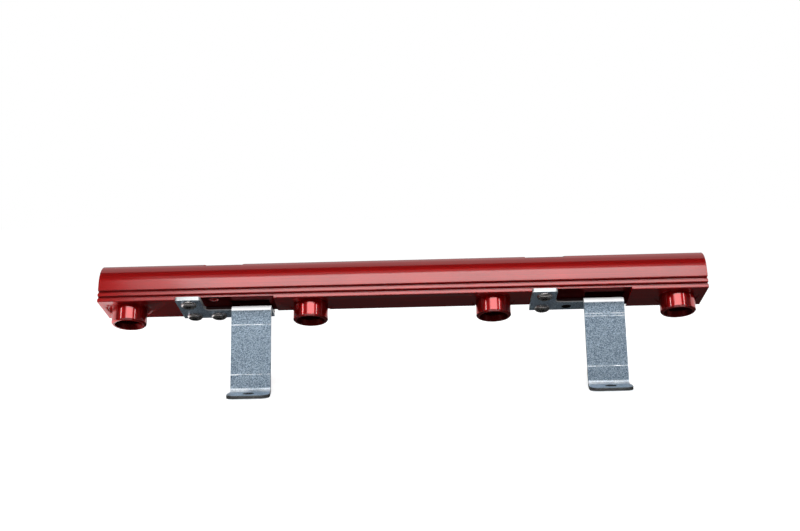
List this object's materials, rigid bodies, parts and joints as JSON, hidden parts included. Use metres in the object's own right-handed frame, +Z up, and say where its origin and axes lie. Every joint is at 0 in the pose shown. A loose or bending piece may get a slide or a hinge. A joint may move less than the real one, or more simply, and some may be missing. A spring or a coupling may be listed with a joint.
{
  "type": "fuel rail",
  "caption": "Straight fuel rail that feeds the injectors along one bank of an engine: red anodised aluminium extrusion with turned injector cups and bent steel mounting brackets.",
  "frame": {"origin": "midway between the two foot bolts, on the underside of the feet", "axes": "+Z up along the foot bolts, +X along the rail, -Y to the side that the feet reach out to; the injectors lean 25 degrees from the bolts"},
  "size_m": [0.3688, 0.0529, 0.0783],
  "materials": {
    "red_anodised": "red anodised, satin extruded sides, bright on the ribs",
    "red_anodised_turned": "red anodised, turned and glossy",
    "seal_rubber": "black moulded rubber",
    "zinc_sheet": "zinc plated sheet with a fine spangle, bright cut edges",
    "steel_screw": "plain stainless, turned heads"
  },
  "bodies": {
    "root": {"rail_body": "red_anodised", "injector_cup_1": "red_anodised_turned", "injector_cup_2": "red_anodised_turned", "injector_cup_3": "red_anodised_turned", "injector_cup_4": "red_anodised_turned", "cup_seal_1": "seal_rubber", "cup_seal_2": "seal_rubber", "cup_seal_3": "seal_rubber", "cup_seal_4": "seal_rubber", "bracket_left": "zinc_sheet", "bracket_right": "zinc_sheet", "bracket_screw_1": "steel_screw", "bracket_screw_2": "steel_screw", "bracket_screw_3": "steel_screw", "bracket_screw_4": "steel_screw", "bracket_screw_5": "steel_screw"}
  },
  "joints": []
}
